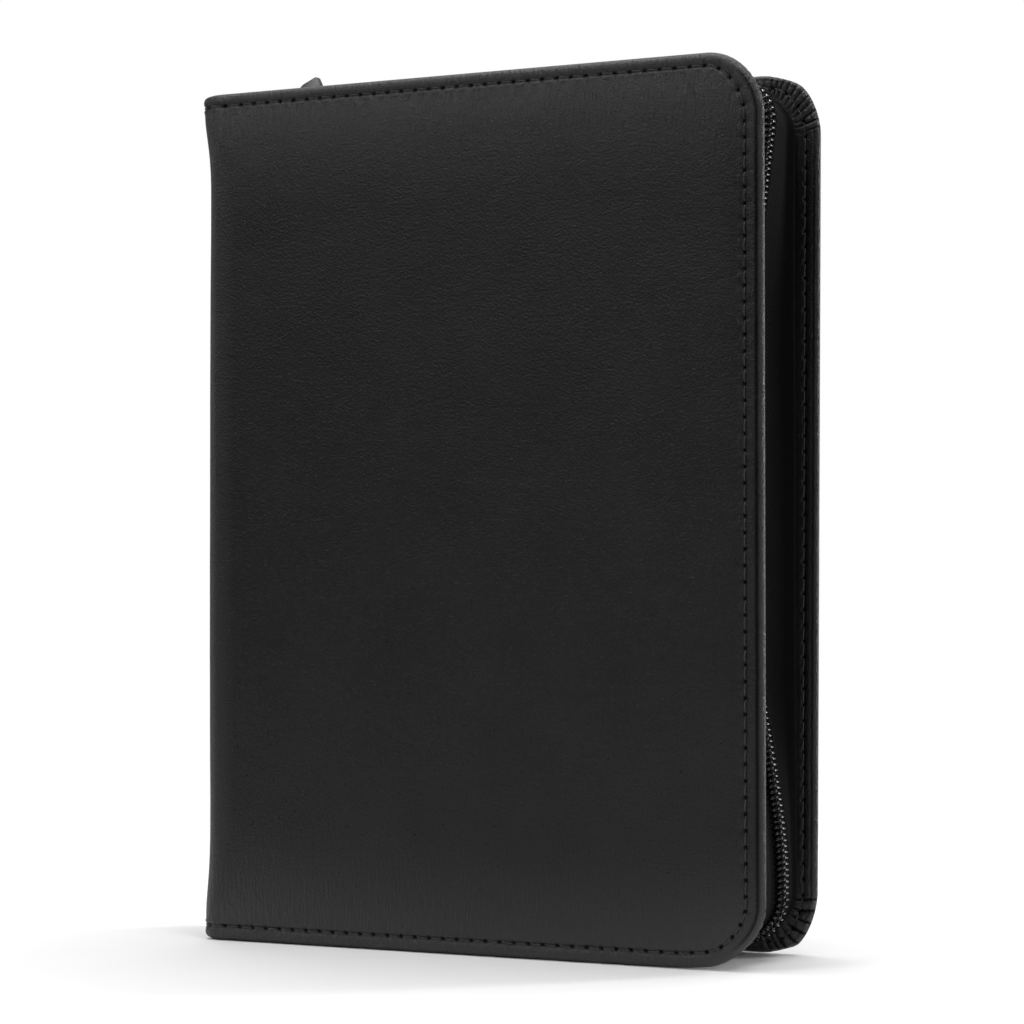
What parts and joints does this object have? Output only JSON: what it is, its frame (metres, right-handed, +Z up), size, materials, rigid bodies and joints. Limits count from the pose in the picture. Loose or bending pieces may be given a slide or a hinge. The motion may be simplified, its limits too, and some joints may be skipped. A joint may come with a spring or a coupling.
{
  "type": "portfolio case",
  "caption": "Small zip-round portfolio case in black faux leather: two stiff covers and a flat spine, closed by a coil zip, lined, with pockets and elastic tool loops.",
  "frame": {"origin": "middle of the closed case's footprint, on the surface it stands on", "axes": "+X from the spine to the opening edge, +Y from the front cover to the back cover, +Z up along the covers"},
  "size_m": [0.165, 0.043, 0.2413],
  "materials": {
    "leather": "satin",
    "foam": "matte",
    "board": "matte",
    "lining": "matte",
    "pocket": "matte",
    "elastic": "matte",
    "zip_tape": "matte",
    "zip_coil": "satin",
    "zip_metal": "satin"
  },
  "bodies": {
    "back_cover": {"back_cover_leather": "leather", "back_cover_foam": "foam", "back_cover_board": "board", "back_cover_lining": "lining", "pad_pocket": "pocket", "zip_tape_back": "zip_tape", "zip_coil_back": "zip_coil", "zip_top_stop_back": "zip_metal", "zip_bottom_stop": "zip_metal"},
    "spine": {"spine_leather": "leather", "spine_foam": "foam", "spine_board": "board", "spine_lining": "lining", "pen_loop": "elastic"},
    "front_cover": {"front_cover_leather": "leather", "front_cover_foam": "foam", "front_cover_board": "board", "front_cover_lining": "lining", "document_pocket": "pocket", "tool_pocket": "pocket", "tool_band": "elastic", "zip_tape_front": "zip_tape", "zip_coil_front": "zip_coil", "zip_top_stop_front": "zip_metal"},
    "zip_slider": {"zip_slider_body": "zip_metal", "zip_slider_crown": "zip_metal"},
    "pull_link": {"zip_pull_link": "zip_metal"},
    "pull_tab": {"zip_pull_tab": "zip_metal"}
  },
  "joints": [
    {"name": "spine_fold", "type": "hinge", "parent": "back_cover", "child": "spine", "pos_m": [-0.08133, 0.02033, 0.1175], "axis": [0, 0, -1], "range_deg": [0, 90]},
    {"name": "front_fold", "type": "hinge", "parent": "spine", "child": "front_cover", "pos_m": [-0.08133, -0.02033, 0.1175], "axis": [0, 0, -1], "range_deg": [0, 90]},
    {"name": "zip_travel", "type": "slide", "parent": "back_cover", "child": "zip_slider", "axis": [1, 0, 0], "range_m": [0, 0.129]},
    {"name": "link_swing", "type": "hinge", "parent": "zip_slider", "child": "pull_link", "pos_m": [-0.0708, 0, 0.23375], "axis": [0, -1, 0], "range_deg": [-12, 100]},
    {"name": "tab_swing", "type": "hinge", "parent": "pull_link", "child": "pull_tab", "pos_m": [-0.06627, 0, 0.23586], "axis": [0, -1, 0], "range_deg": [-8, 50]}
  ]
}
